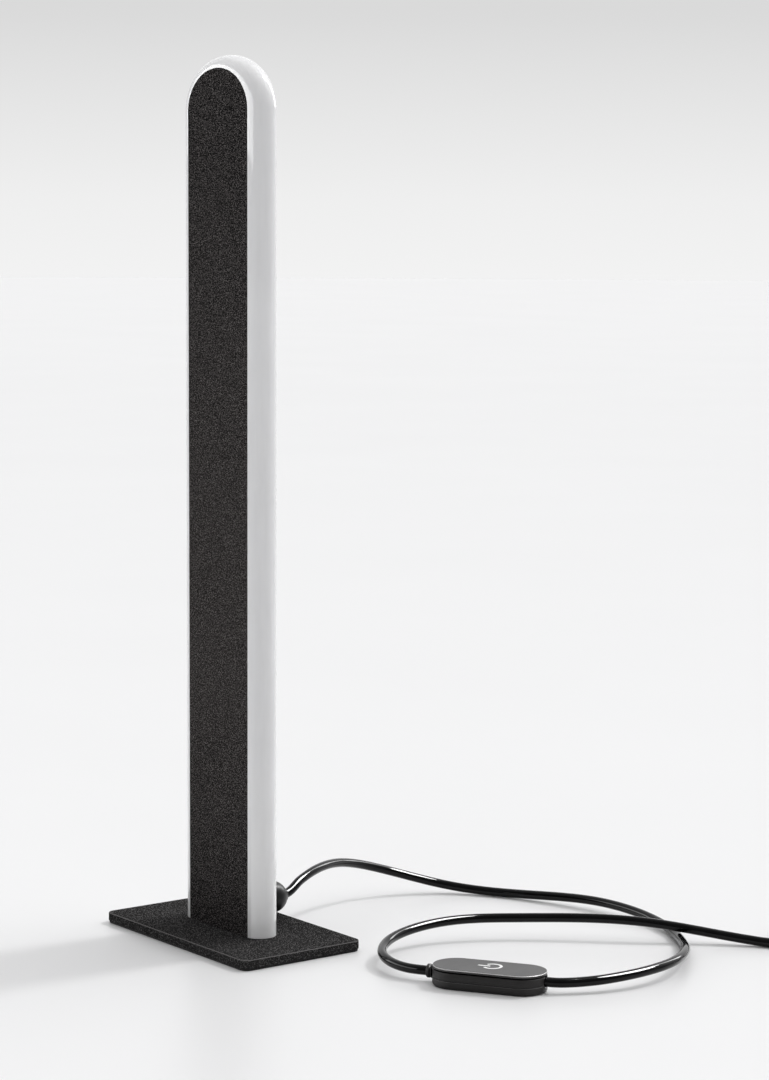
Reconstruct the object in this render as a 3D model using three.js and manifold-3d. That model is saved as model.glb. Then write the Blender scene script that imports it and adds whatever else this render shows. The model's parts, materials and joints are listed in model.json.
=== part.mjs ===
// Slim upright LED table lamp: a flat weighted base, a thin upright bar with an
// arched top made of two black panels, a half-round light diffuser running round
// the bar's edge, a domed cable gland at the back, a round mains cord with an
// in-line push switch, a stored coil of cord and a flat two-pin plug.
// Millimetres, +Z up. Origin: centre of the base's underside, on the surface
// that the lamp stands on. +X runs along the base's long side, -Y is the front.
import * as THREE from 'three';
import { mergeVertices } from 'three/addons/utils/BufferGeometryUtils.js';
import Module from 'manifold-3d';

const wasm = await Module();
wasm.setup();

// ---------------------------------------------------------------- dimensions
const BASE_X = 143.4, BASE_Y = 80.5, BASE_T = 5.0, BASE_R = 5.0, BASE_EDGE = 0.5;
const PAD_T = 1.2, PAD_INSET = 0.5;
const Z_PLATE = PAD_T;                    // underside of the steel plate
const Z_TOP = PAD_T + BASE_T;             // upper face of the steel plate
const Z_BAR = Z_TOP + 0.05;               // where the upright starts
const BAR_HALF_W = 29.35;                 // half width of the black panels
const BAR_HALF_T = 9.0;                   // half thickness of the bar
const BAR_APEX = 493.4;                   // top of the black panels
const ARCH_H = 23.4;                      // rise of the arched top
const Z_ARCH = BAR_APEX - ARCH_H;         // where the straight sides end
const PANEL_T = 1.5;
const PANEL_IN = BAR_HALF_T - PANEL_T;    // inner face of each panel
const BULGE_SIDE = 8.5, BULGE_TOP = 7.3;  // how far the diffuser stands out
const DIFF_WALL = 1.6, DIFF_GAP = 0.2;
const FRAME_N = -2.8, FRAME_T = 1.5, FRAME_HY = 7.1;   // bent inner strip
const STRIP_T = 0.3, STRIP_HY = 4.0, CHIP = 2.8, CHIP_T = 0.7, CHIP_PITCH = 50;
const ARCH_STEPS = 18;
const SCREW_Z = [120, 285, 450];          // the rear panel's screws
const GLAND_Z = 19.2, CORD_D = 5.4, CORD_R = CORD_D / 2;
const GLAND_R = 9.6, GLAND_TIP = 37.6;
// in-line switch
const SW_POS = [175.0, 48.7], SW_ANGLE = 33.0;         // degrees about +Z
const SW_L = 64.0, SW_W = 27.6, SW_SEAM = 4.4, SW_COVER_TOP = 9.0, SW_TOP = 11.2;
const SW_CORD_Z = 6.0, SW_BORE = 2.85, SW_TRAVEL = 0.6;
const COLLAR_L = 3.2, COLLAR_R = 3.8;
// coil and plug
const COIL_C = [213.7, 281.2], COIL_IN = 24.1, COIL_OUT = 34.9, COIL_Z0 = 1.0, COIL_Z1 = 11.8;
const PLUG_X = 273.7, PLUG_Y = 249, PLUG_L = 36.0, PLUG_W = 35.3, PLUG_H = 13.7;
const SLEEVE_L = 26.0, PIN_R = 2.0, PIN_L = 19.0, PIN_SPACING = 18.6;

// the cord's centreline, lamp to switch and switch to coil
const ROUTE_A = [
  [0, 38.3, 19.6], [-2.85, 50.32, 25.2], [-7.62, 62.73, 28.02], [-13.37, 75.03, 28.63], [-19.24, 87.27, 27.66], [-24.39, 99.65, 25.41],
  [-27.92, 112.37, 22.16], [-28.88, 125.34, 18.22], [-26.99, 138.12, 14.02], [-22.26, 150.19, 9.97], [-15.07, 161.2, 6.55], [-5.92, 170.98, 4.22],
  [4.66, 179.43, 3.07], [16.17, 186.68, 2.84], [28.23, 192.98, 3.23], [40.61, 198.58, 3.97], [53.27, 203.49, 4.81], [66.23, 207.58, 5.52],
  [79.47, 210.69, 5.87], [92.92, 212.7, 5.74], [106.5, 213.46, 5.25], [120.07, 212.79, 4.57], [133.45, 210.48, 3.85], [146.39, 206.33, 3.27],
  [158.62, 200.4, 3.02], [170.18, 193.22, 3.35], [181.17, 185.28, 4.46], [191.54, 176.61, 5.99], [201.17, 167.09, 7.39], [209.8, 156.62, 8.22],
  [216.7, 144.92, 8.51], [220.87, 131.99, 8.43], [222.18, 118.47, 8.04], [221.07, 104.94, 7.39], [217.77, 91.77, 6.61], [212.32, 79.34, 6.02],
  [210.10, 74.81, 6], [207.58, 70.81, 6], [204.1, 67.59, 6], [202.09, 66.29, 6],
];
const ROUTE_B = [
  [145.06, 29.26, 6], [142.2, 27.4, 6], [134.3, 23.95, 6], [122.62, 22.87, 6.46], [111.12, 25.86, 7.2], [101.01, 32.12, 7.95], [92.82, 40.76, 8.68],
  [86.81, 51.03, 9.46], [83.17, 62.37, 10.31], [81.84, 74.2, 11.14], [82.59, 86.1, 11.82], [85.21, 97.75, 12.23], [89.46, 108.91, 12.31],
  [95, 119.5, 12.21], [101.45, 129.56, 12.13], [108.5, 139.21, 12.19], [116.02, 148.51, 12.34], [123.89, 157.5, 12.44], [132.02, 166.27, 12.37],
  [140.3, 174.89, 12.03], [148.63, 183.42, 11.29], [156.95, 191.93, 10.06], [165.28, 200.35, 8.47], [173.76, 208.6, 6.74], [182.48, 216.6, 5.06],
  [191.54, 224.27, 3.66], [201.03, 231.48, 2.73], [209.03, 237.48, 2.98], [217.03, 243.48, 3.28],
];
const ROUTE_C = [[233.4, 249, 8.4], [239.0, 249, 7.5], [247.4, 249, 6.85]];

// ------------------------------------------------------------------ helpers
const root = new THREE.Group();

function volume(g) {
  const p = g.attributes.position, ix = g.index;
  let v = 0; const a = new THREE.Vector3(), b = new THREE.Vector3(), c = new THREE.Vector3();
  const n = ix ? ix.count : p.count;
  for (let i = 0; i < n; i += 3) {
    a.fromBufferAttribute(p, ix ? ix.getX(i) : i); b.fromBufferAttribute(p, ix ? ix.getX(i + 1) : i + 1);
    c.fromBufferAttribute(p, ix ? ix.getX(i + 2) : i + 2);
    v += a.dot(b.clone().cross(c)) / 6;
  }
  return v;
}
function clean(g) {
  const q = g.clone();
  q.deleteAttribute('normal'); q.deleteAttribute('uv');
  if (q.index === null) q.setIndex([...Array(q.attributes.position.count).keys()]);
  const m = mergeVertices(q, 1e-4);
  const ix = m.index.array, out = [];
  for (let i = 0; i < ix.length; i += 3) {
    const [a, b, c] = [ix[i], ix[i + 1], ix[i + 2]];
    if (a !== b && b !== c && a !== c) out.push(a, b, c);
  }
  m.setIndex(out);
  if (volume(m) < 0) {
    for (let i = 0; i < out.length; i += 3) [out[i + 1], out[i + 2]] = [out[i + 2], out[i + 1]];
    m.setIndex(out);
  }
  return m;
}
function solid(g) {
  const m = clean(g);
  return new wasm.Manifold(new wasm.Mesh({
    numProp: 3, vertProperties: new Float32Array(m.attributes.position.array), triVerts: new Uint32Array(m.index.array),
  }));
}
function geometry(man) {
  const m = man.getMesh(), g = new THREE.BufferGeometry(), p = new Float32Array(m.numVert * 3);
  for (let i = 0; i < m.numVert; i++) for (let k = 0; k < 3; k++) p[3 * i + k] = m.vertProperties[i * m.numProp + k];
  g.setAttribute('position', new THREE.BufferAttribute(p, 3));
  g.setIndex(new THREE.BufferAttribute(new Uint32Array(m.triVerts), 1));
  return g;
}
const cut = (g, ...tools) => geometry(tools.reduce((s, t) => s.subtract(solid(t)), solid(g)));
const join = (...gs) => geometry(gs.slice(1).reduce((s, t) => s.add(solid(t)), solid(gs[0])));
function piece(name, g, color, roughness, metalness, group = root) {
  const m = new THREE.Mesh(clean(g), new THREE.MeshStandardMaterial({ color, roughness, metalness }));
  m.geometry.computeVertexNormals();
  m.name = name;
  group.add(m);
  return m;
}
const box = (x0, y0, z0, x1, y1, z1) =>
  new THREE.BoxGeometry(x1 - x0, y1 - y0, z1 - z0).translate((x0 + x1) / 2, (y0 + y1) / 2, (z0 + z1) / 2);
// cylinder or cone frustum along an axis from point a to point b
function rod(a, b, r0, r1 = r0, seg = 20) {
  const A = new THREE.Vector3(...a), B = new THREE.Vector3(...b), d = B.clone().sub(A);
  const g = new THREE.CylinderGeometry(r1, r0, d.length(), seg, 1);
  g.applyQuaternion(new THREE.Quaternion().setFromUnitVectors(new THREE.Vector3(0, 1, 0), d.clone().normalize()));
  return g.translate((A.x + B.x) / 2, (A.y + B.y) / 2, (A.z + B.z) / 2);
}
// surface of revolution about the +Y direction through (0, *, z); profile is [radius, y], closed
function turned(profile, z, seg = 22) {
  const g = new THREE.LatheGeometry([...profile, profile[0]].map(([r, y]) => new THREE.Vector2(r, y)), seg);
  return g.translate(0, 0, z);
}
function rounded(w, h, r, steps = 5) {
  const s = new THREE.Shape(), pts = [];
  for (const [sx, sy, a0] of [[1, 1, 0], [-1, 1, 90], [-1, -1, 180], [1, -1, 270]])
    for (let i = 0; i <= steps; i++) {
      const a = (a0 + 90 * i / steps) * Math.PI / 180;
      pts.push(new THREE.Vector2(sx * (w / 2 - r) + r * Math.cos(a), sy * (h / 2 - r) + r * Math.sin(a)));
    }
  const out = pts.filter((p, i) => p.distanceTo(pts[(i + 1) % pts.length]) > 1e-4);
  s.setFromPoints(out);
  return s;
}
const slab = (shape, z0, z1, bevel = 0) => {
  const g = bevel
    ? new THREE.ExtrudeGeometry(shape, { depth: z1 - z0 - 2 * bevel, bevelEnabled: true, bevelThickness: bevel, bevelSize: bevel, bevelOffset: -bevel, bevelSegments: 2 })
    : new THREE.ExtrudeGeometry(shape, { depth: z1 - z0, bevelEnabled: false });
  return g.translate(0, 0, z0 + bevel);
};
function tube(points, r, steps, sides = 10) {
  const curve = new THREE.CatmullRomCurve3(points.map((p) => new THREE.Vector3(...p)), false, 'centripetal');
  const s = new THREE.Shape(Array.from({ length: sides }, (_, i) =>
    new THREE.Vector2(r * Math.cos(2 * Math.PI * i / sides), r * Math.sin(2 * Math.PI * i / sides))));
  return new THREE.ExtrudeGeometry(s, { steps, extrudePath: curve, bevelEnabled: false });
}

// outline of the bar: stations with a point, an outward normal and 0..1 towards the apex
function stations(z0) {
  const out = [];
  const arch = (t) => {
    const p = [BAR_HALF_W * Math.cos(t), Z_ARCH + ARCH_H * Math.sin(t)];
    const n = [Math.cos(t) / BAR_HALF_W, Math.sin(t) / ARCH_H], l = Math.hypot(...n);
    return { p, n: [n[0] / l, n[1] / l], top: Math.sin(t) };
  };
  for (const z of [z0, 240]) out.push({ p: [BAR_HALF_W, z], n: [1, 0], top: 0 });
  for (let i = 0; i <= ARCH_STEPS; i++) out.push(arch(Math.PI * i / ARCH_STEPS));
  for (const z of [240, z0]) out.push({ p: [-BAR_HALF_W, z], n: [-1, 0], top: 0 });
  return out;
}
// sweeps a closed section of [offset, y] points along the bar's outline
function sweep(section, z0, bulge = () => 1) {
  const st = stations(z0), n = section.length, pos = [], idx = [];
  for (const s of st) {
    const f = bulge(s.top);
    for (const [d, y] of section) {
      const k = d > 0 ? d * f : d;
      pos.push(s.p[0] + k * s.n[0], y, s.p[1] + k * s.n[1]);
    }
  }
  for (let i = 0; i + 1 < st.length; i++) for (let j = 0; j < n; j++) {
    const a = i * n + j, b = i * n + (j + 1) % n, c = a + n, d = b + n;
    idx.push(a, c, b, b, c, d);
  }
  const faces = THREE.ShapeUtils.triangulateShape(section.map(([d, y]) => new THREE.Vector2(d, y)), []);
  const last = (st.length - 1) * n;
  for (const [a, b, c] of faces) { idx.push(a, b, c); idx.push(last + a, last + c, last + b); }
  const g = new THREE.BufferGeometry();
  g.setAttribute('position', new THREE.Float32BufferAttribute(pos, 3));
  g.setIndex(idx);
  return g;
}

// --------------------------------------------------------------------- base
const screwX = 19;
{
  const pad = slab(rounded(BASE_X - 2 * PAD_INSET, BASE_Y - 2 * PAD_INSET, BASE_R - PAD_INSET, 4), 0, PAD_T - 0.02);
  piece('base_pad', pad, 0x1a1a1b, 0.95, 0);
  const plate = slab(rounded(BASE_X, BASE_Y, BASE_R), Z_PLATE, Z_TOP, BASE_EDGE);
  const holes = [-1, 1].flatMap((s) => [
    rod([s * screwX, 0, Z_PLATE - 1], [s * screwX, 0, Z_TOP + 1], 2.4),
    rod([s * screwX, 0, Z_PLATE - 1], [s * screwX, 0, Z_PLATE + 2.6], 4.9),
  ]);
  piece('base_plate', cut(plate, ...holes), 0x2b2a2c, 0.6, 0.3);
  for (const [name, s] of [['foot_block_left', -1], ['foot_block_right', 1]]) {
    const x0 = s < 0 ? -24.6 : 12.0, x1 = s < 0 ? -12.0 : 24.6;
    piece(name, cut(box(x0, -7.1, Z_BAR, x1, 7.1, 20), rod([s * screwX, 0, Z_BAR - 1], [s * screwX, 0, 16.5], 2.3)), 0xb8babd, 0.4, 0.9);
  }
  for (const [name, s] of [['base_screw_left', -1], ['base_screw_right', 1]]) {
    const x = s * screwX;
    const head = rod([x, 0, Z_PLATE + 0.25], [x, 0, Z_PLATE + 2.3], 4.5, 4.5, 24), shank = rod([x, 0, Z_PLATE + 1.5], [x, 0, 15.5], 2.0, 2.0, 16);
    piece(name, cut(join(head, shank), rod([x, 0, Z_PLATE - 1], [x, 0, Z_PLATE + 1.4], 1.5, 1.5, 6)), 0x9b9da0, 0.35, 1);
  }
}

// ------------------------------------------------------------------- panels
function panelGeometry(y0, y1) {
  const s = new THREE.Shape(stations(Z_BAR).map(({ p }) => new THREE.Vector2(p[0], p[1])));
  const g = new THREE.ExtrudeGeometry(s, { depth: y1 - y0, bevelEnabled: false });
  return g.rotateX(Math.PI / 2).translate(0, y1, 0);
}
piece('front_panel', panelGeometry(-BAR_HALF_T, -PANEL_IN), 0x242325, 0.62, 0.25);
piece('rear_panel', cut(panelGeometry(PANEL_IN, BAR_HALF_T),
  rod([0, PANEL_IN - 1, GLAND_Z], [0, BAR_HALF_T + 1, GLAND_Z], 5.4, 5.4, 24),
  ...SCREW_Z.flatMap((z) => [rod([0, PANEL_IN - 1, z], [0, BAR_HALF_T + 1, z], 1.9, 1.9, 16), rod([0, BAR_HALF_T - 0.9, z], [0, BAR_HALF_T + 1, z], 3.3, 3.3, 20)])),
0x242325, 0.62, 0.25);

// ----------------------------------------------------------------- diffuser
{
  const outer = [], inner = [], N = 10, M = 6;
  for (let i = 0; i <= N; i++) {
    const t = Math.PI * i / N;
    outer.push([DIFF_GAP + (BULGE_SIDE - DIFF_GAP) * Math.sin(t), -BAR_HALF_T * Math.cos(t)]);
  }
  const hy = 6.0;
  for (let i = 0; i <= M; i++) {
    const t = Math.PI * i / M;
    inner.push([1.2 + (BULGE_SIDE - DIFF_WALL - 1.2) * Math.sin(t), hy * Math.cos(t) * (1 + 0.18 * Math.sin(t))]);
  }
  const lip = PANEL_IN - 0.2;
  const section = [...outer, [DIFF_GAP, lip], [-2.1, lip], [-2.1, hy], ...inner, [-2.1, -hy], [-2.1, -lip], [DIFF_GAP, -lip]];
  const g = sweep(section, Z_BAR, (top) => 1 + (BULGE_TOP / BULGE_SIDE - 1) * top ** 1.5);
  piece('diffuser', g, 0xd8d9dc, 0.3, 0);
}

// ----------------------------------------- inner frame, LED strip and posts
{
  const a = FRAME_N - FRAME_T, b = FRAME_N, z0 = Z_BAR + 1;
  const frame = sweep([[a, -FRAME_HY], [b, -FRAME_HY], [b, FRAME_HY], [a, FRAME_HY]], z0);
  piece('core_frame', cut(frame, rod([20, 0, 78], [32, 0, 78], 3.2, 3.2, 16)), 0xb9bbbe, 0.4, 0.9);
  let strip = solid(sweep([[b + 0.05, -STRIP_HY], [b + 0.05 + STRIP_T, -STRIP_HY], [b + 0.05 + STRIP_T, STRIP_HY], [b + 0.05, STRIP_HY]], z0 + 6));
  const n0 = b + 0.05 + STRIP_T - 0.1, n1 = b + 0.05 + STRIP_T + CHIP_T;
  const place = (x, z, n) => {
    const chip = new THREE.BoxGeometry(CHIP, CHIP, n1 - n0).translate(0, 0, (n0 + n1) / 2);
    const m = new THREE.Matrix4().makeBasis(new THREE.Vector3(-n[1], 0, n[0]), new THREE.Vector3(0, 1, 0), new THREE.Vector3(n[0], 0, n[1]));
    m.setPosition(x, 0, z);
    strip = strip.add(solid(chip.applyMatrix4(m)));
  };
  for (let z = 30; z < Z_ARCH - 4; z += CHIP_PITCH) for (const s of [1, -1]) place(s * BAR_HALF_W, z, [s, 0]);
  for (const t of [35, 62, 90, 118, 145]) {
    const a1 = t * Math.PI / 180, nx = Math.cos(a1) / BAR_HALF_W, nz = Math.sin(a1) / ARCH_H, l = Math.hypot(nx, nz);
    place(BAR_HALF_W * Math.cos(a1), Z_ARCH + ARCH_H * Math.sin(a1), [nx / l, nz / l]);
  }
  piece('led_strip', geometry(strip), 0xf1e8c0, 0.5, 0);
}
const NAMES = ['lower', 'middle', 'upper'];
SCREW_Z.forEach((z, i) => {
  piece(`standoff_${NAMES[i]}`, cut(rod([0, -PANEL_IN + 0.05, z], [0, PANEL_IN - 0.05, z], 4, 4, 12),
    rod([0, -1, z], [0, PANEL_IN + 1, z], 1.75, 1.75, 16)), 0xb8babd, 0.4, 0.9);
  const head = rod([0, BAR_HALF_T - 0.85, z], [0, BAR_HALF_T + 0.25, z], 2.9, 2.7, 20), shank = rod([0, 0, z], [0, BAR_HALF_T - 0.5, z], 1.45, 1.45, 14);
  piece(`rear_screw_${NAMES[i]}`, cut(join(head, shank), rod([0, BAR_HALF_T - 0.5, z], [0, BAR_HALF_T + 1, z], 1.0, 1.0, 6)), 0x1d1d1e, 0.4, 0.8);
});

// ------------------------------------------------------------ LED driver etc.
{
  const x = 15.5, z0 = 42, z1 = 104;
  piece('driver_case', cut(box(-x, -6.9, z0, x, 5.2, z1), box(-x + 1.3, -5.6, z0 + 1.3, x - 1.3, 9, z1 - 1.3),
    box(x - 2, -1.6, 75, x + 1, 1.6, 81), box(-5, -2, z0 - 1, 5, 2, z0 + 2)), 0xe9e9e6, 0.6, 0);
  piece('driver_lid', box(-x, 5.35, z0, x, 6.9, z1), 0xe9e9e6, 0.6, 0);
  piece('driver_board', join(box(-13.6, -4.6, z0 + 2, 13.6, -3.2, z1 - 2), box(-9, -3.4, 52, 4, 3.6, 66), box(-6, -3.4, 70, 8, 3.0, 82),
    rod([-7, -3.4, 90], [-7, 3.8, 90], 4, 4, 14), box(3, -3.4, 87, 11, 0, 97)), 0x2c5a38, 0.5, 0.1);
  piece('terminal_block', join(box(-9, -5.5, 27.8, 9, 4.5, 36.5), box(-7.5, -3.5, 36.3, 7.5, 3, 39.5)), 0xdedcd4, 0.6, 0);
  piece('mains_lead_live', tube([[-2.2, 0, 39.8], [-2.3, 0, 42], [-2.4, 0.2, 44], [-2.6, 0.3, 47.5]], 0.9, 4, 8), 0x5a3a22, 0.5, 0);
  piece('mains_lead_neutral', tube([[2.2, 0, 39.8], [2.3, 0, 42], [2.4, 0.2, 44], [2.6, 0.3, 47.5]], 0.9, 4, 8), 0x2e5fa0, 0.5, 0);
  piece('led_lead_pos', tube([[14.0, 0.2, 79.3], [18, 0.2, 79.3], [22, 0.2, 79.2], [26.0, 0.2, 79.2]], 0.7, 4, 8), 0xb02a22, 0.5, 0);
  piece('led_lead_neg', tube([[14.0, 0.2, 76.7], [18, 0.2, 76.7], [22, 0.2, 76.8], [26.0, 0.2, 76.8]], 0.7, 4, 8), 0x202020, 0.5, 0);
}

// --------------------------------------------------------------- cable gland
{
  const y0 = BAR_HALF_T + 0.1;
  piece('gland_body', turned([[3.0, 4.0], [5.1, 4.0], [5.1, y0], [GLAND_R, y0], [GLAND_R, y0 + 2.6], [GLAND_R - 0.5, y0 + 3.2], [6.6, y0 + 3.2], [6.6, 20.0], [3.0, 20.0]], GLAND_Z), 0x1e1e1f, 0.5, 0);
  const lock = new THREE.LatheGeometry([[5.4, 4.3], [8.6, 4.3], [8.6, 7.2], [5.4, 7.2], [5.4, 4.3]].map(([r, y]) => new THREE.Vector2(r, y)), 6);
  piece('gland_locknut', cut(lock.translate(0, 0, GLAND_Z), rod([0, 3, GLAND_Z], [0, 9, GLAND_Z], 5.4, 5.4, 24)), 0x2a2a2b, 0.5, 0);
  piece('gland_insert', turned([[3.0, 20.4], [5.6, 20.4], [5.6, 27], [4.6, 33.2], [3.0, 33.2]], GLAND_Z), 0x151515, 0.9, 0);
  const dome = [];
  for (let i = 0; i <= 6; i++) { const t = Math.PI / 2 * i / 6; dome.push([Math.max(3.5, 9.3 * Math.cos(t)), 27.9 + 9.5 * Math.sin(t)]); }
  const outer = dome.filter(([r], i) => r > 3.5).concat([[4.2, GLAND_TIP - 0.35], [3.3, GLAND_TIP]]);
  piece('gland_nut', turned([[6.95, y0 + 3.6], [9.3, y0 + 3.6], [9.3, 24.0], ...outer, [3.2, GLAND_TIP - 0.9], [3.2, 34.6], [4.9, 33.6], [5.95, 27.1], [5.95, 20.2], [6.95, 20.2]], GLAND_Z, 24), 0x262627, 0.45, 0);
  piece('cord_tail', tube([[0, 36.4, GLAND_Z], [0, 24, GLAND_Z], [0, 10, GLAND_Z], [0, 4.2, GLAND_Z], [0, 1.2, GLAND_Z + 1.6], [0, 0.1, GLAND_Z + 5.2], [0, 0, 27.5]], CORD_R - 0.05, 12, 8), 0x161617, 0.35, 0);
}

// ------------------------------------------------------------- in-line switch
const sw = new THREE.Group();
sw.position.set(SW_POS[0], SW_POS[1], 0);
sw.rotation.z = SW_ANGLE * Math.PI / 180;
root.add(sw);
{
  const outline = (inset) => rounded(SW_L - 2 * inset, SW_W - 2 * inset, SW_W / 2 - inset, 6);
  const channel = (r) => [rod([-40, 0, SW_CORD_Z], [-19, 0, SW_CORD_Z], r, r, 20), rod([19, 0, SW_CORD_Z], [40, 0, SW_CORD_Z], r, r, 20)];
  const screws = [[-26.3, -6.6], [26.3, 6.6]];
  piece('switch_base', cut(slab(outline(0), 0.02, SW_SEAM, 0.9), box(-20.5, -10, 1.7, 20.5, 10, 9), ...channel(SW_BORE),
    ...screws.flatMap(([x, y]) => [rod([x, y, -1], [x, y, 6], 1.5, 1.5, 14), rod([x, y, -1], [x, y, 1.5], 2.5, 2.5, 16)])), 0x232122, 0.5, 0, sw);
  piece('switch_cover', cut(slab(outline(0.1), SW_SEAM + 0.2, SW_COVER_TOP, 0.25), box(-20.5, -10, 2, 20.5, 10, 7.3), slab(rounded(35, 15, 4, 4), 5, 12), ...channel(SW_BORE),
    ...screws.map(([x, y]) => rod([x, y, 3], [x, y, 7.6], 1.25, 1.25, 12))), 0x232122, 0.5, 0, sw);
  const zc = SW_COVER_TOP + 0.75;
  piece('switch_button', join(slab(outline(0.35), zc, SW_TOP, 0.35), slab(rounded(34, 14, 3.6, 4), 6.9, zc + 0.3)), 0x2a2829, 0.45, 0, sw);
  piece('tact_plunger', rod([0, 0, 4.3], [0, 0, 6.85], 1.7, 1.7, 14), 0x111111, 0.5, 0, sw);
  piece('switch_tact', cut(box(-3, -3, 2.65, 3, 3, 5.1), rod([0, 0, 3.3], [0, 0, 6], 2.0, 2.0, 16)), 0x8b8d90, 0.4, 0.6, sw);
  piece('switch_pcb', box(-17, -8, 1.9, 17, 8, 2.6), 0x2c5a38, 0.5, 0.1, sw);
  const collar = new THREE.LatheGeometry([[3.05, 0], [COLLAR_R - 0.4, 0], [COLLAR_R, 0.5], [COLLAR_R, COLLAR_L - 0.6], [COLLAR_R - 0.5, COLLAR_L], [3.05, COLLAR_L], [3.05, 0]].map(([r, y]) => new THREE.Vector2(r, y)), 24);
  piece('switch_collar', collar.rotateZ(Math.PI / 2).translate(-SW_L / 2 - 0.2, 0, SW_CORD_Z), 0x232122, 0.5, 0, sw);
  screws.forEach(([x, y], i) => piece(`switch_screw_${i + 1}`, join(rod([x, y, 0.3], [x, y, 1.35], 2.1, 2.1, 16), rod([x, y, 1.2], [x, y, 7.2], 0.95, 0.95, 12)), 0x9b9da0, 0.35, 1, sw));
  piece('switch_cord_end_1', rod([-35.1, 0, SW_CORD_Z], [-21, 0, SW_CORD_Z], CORD_R - 0.15, CORD_R - 0.15, 10), 0x161617, 0.35, 0, sw);
  piece('switch_cord_end_2', rod([21, 0, SW_CORD_Z], [32.0, 0, SW_CORD_Z], CORD_R - 0.15, CORD_R - 0.15, 10), 0x161617, 0.35, 0, sw);
}

// ----------------------------------------------------- cord, coil, tie, plug
piece('cord_lamp_to_switch', tube(ROUTE_A, CORD_R, 40, 8), 0x161617, 0.3, 0);
piece('cord_switch_to_coil', tube(ROUTE_B, CORD_R, 30, 8), 0x161617, 0.3, 0);
piece('cord_coil_to_plug', tube(ROUTE_C, CORD_R, 3, 8), 0x161617, 0.3, 0);
{
  const c = 2.2, pts = [];
  for (const [sx, sz, a0] of [[1, 1, 0], [-1, 1, 90], [-1, -1, 180], [1, -1, 270]])
    for (let i = 0; i <= 2; i++) {
      const a = (a0 + 45 * i) * Math.PI / 180;
      pts.push(new THREE.Vector2((COIL_IN + COIL_OUT) / 2 + sx * ((COIL_OUT - COIL_IN) / 2 - c) + c * Math.cos(a),
        (COIL_Z0 + COIL_Z1) / 2 + sz * ((COIL_Z1 - COIL_Z0) / 2 - c) + c * Math.sin(a)));
    }
  pts.push(pts[0].clone());
  piece('cord_coil', new THREE.LatheGeometry(pts, 30).rotateX(Math.PI / 2).translate(COIL_C[0], COIL_C[1], 0), 0x161617, 0.3, 0);
  const tie = new THREE.Group();
  tie.position.set(COIL_C[0], COIL_C[1], 0);
  tie.rotation.z = 100 * Math.PI / 180;
  root.add(tie);
  const mid = (COIL_IN + COIL_OUT) / 2, w = COIL_OUT - COIL_IN + 1.3, h = COIL_Z1 - COIL_Z0 + 0.6;
  const s = rounded(w + 1.2, h + 1.2, 3.0, 3);
  s.holes.push(new THREE.Path(rounded(w, h, 2.4, 3).getPoints().reverse()));
  const g = new THREE.ExtrudeGeometry(s, { depth: 8, bevelEnabled: false }).rotateX(Math.PI / 2).translate(mid - 0.1, 4, (COIL_Z0 + COIL_Z1) / 2);
  piece('coil_tie', g, 0x1b1b1c, 0.9, 0, tie);
}
{
  const hw = PLUG_W / 2, L = PLUG_L;
  const s = new THREE.Shape([[0, -6.5], [6, -9.5], [13, -hw + 1.5], [19, -hw], [L - 2, -hw + 0.8], [L, -hw + 3], [L, hw - 3], [L - 2, hw - 0.8], [19, hw], [13, hw - 1.5], [6, 9.5], [0, 6.5]].map(([x, y]) => new THREE.Vector2(x, y)));
  const body = new THREE.ExtrudeGeometry(s, { depth: PLUG_H - 2.4, bevelEnabled: true, bevelThickness: 1.2, bevelSize: 1.2, bevelOffset: -1.2, bevelSegments: 2 }).translate(PLUG_X, PLUG_Y, 1.2);
  const z = PLUG_H / 2, holes = [-1, 1].map((k) => rod([PLUG_X + L - 7, PLUG_Y + k * PIN_SPACING / 2, z], [PLUG_X + L + 5, PLUG_Y + k * PIN_SPACING / 2, z], PIN_R + 0.25, PIN_R + 0.25, 18));
  piece('plug_body', cut(body, ...holes, rod([PLUG_X - 3, PLUG_Y, z], [PLUG_X + 4, PLUG_Y, z], 4.6, 4.6, 20)), 0x1c1c1d, 0.5, 0);
  const sl = [[2.95, 0.2], [3.9, 0.2], [4.0, SLEEVE_L * 0.5], [4.3, SLEEVE_L + 3.6], [2.95, SLEEVE_L + 3.6], [2.95, 0.2]];
  const g = new THREE.LatheGeometry(sl.map(([r, y]) => new THREE.Vector2(r, y)), 14).rotateZ(-Math.PI / 2).translate(PLUG_X - SLEEVE_L, PLUG_Y, z);
  const grooves = [6, 12, 18].map((x) => {
    const q = new THREE.LatheGeometry([[3.45, x], [6, x], [6, x + 1.3], [3.45, x + 1.3], [3.45, x]].map(([r, y]) => new THREE.Vector2(r, y)), 14);
    return q.rotateZ(-Math.PI / 2).translate(PLUG_X - SLEEVE_L, PLUG_Y, z);
  });
  piece('plug_sleeve', cut(g, ...grooves), 0x1c1c1d, 0.5, 0);
  piece('plug_cord_end', rod([PLUG_X - SLEEVE_L + 0.1, PLUG_Y, z], [PLUG_X + 3.5, PLUG_Y, z], CORD_R - 0.05, CORD_R - 0.05, 10), 0x161617, 0.35, 0);
  [-1, 1].forEach((k, i) => {
    const y = PLUG_Y + k * PIN_SPACING / 2, x0 = PLUG_X + L - 6.5, x1 = PLUG_X + L + PIN_L;
    piece(`plug_pin_${i + 1}`, join(rod([x0, y, z], [x1 - 2, y, z], PIN_R, PIN_R, 16), rod([x1 - 2, y, z], [x1, y, z], PIN_R, PIN_R * 0.6, 16)), 0xc9cacc, 0.25, 1);
  });
}

export default root;
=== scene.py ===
import bpy, bmesh, math, json
import numpy as np
from mathutils import Vector, Matrix


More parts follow.
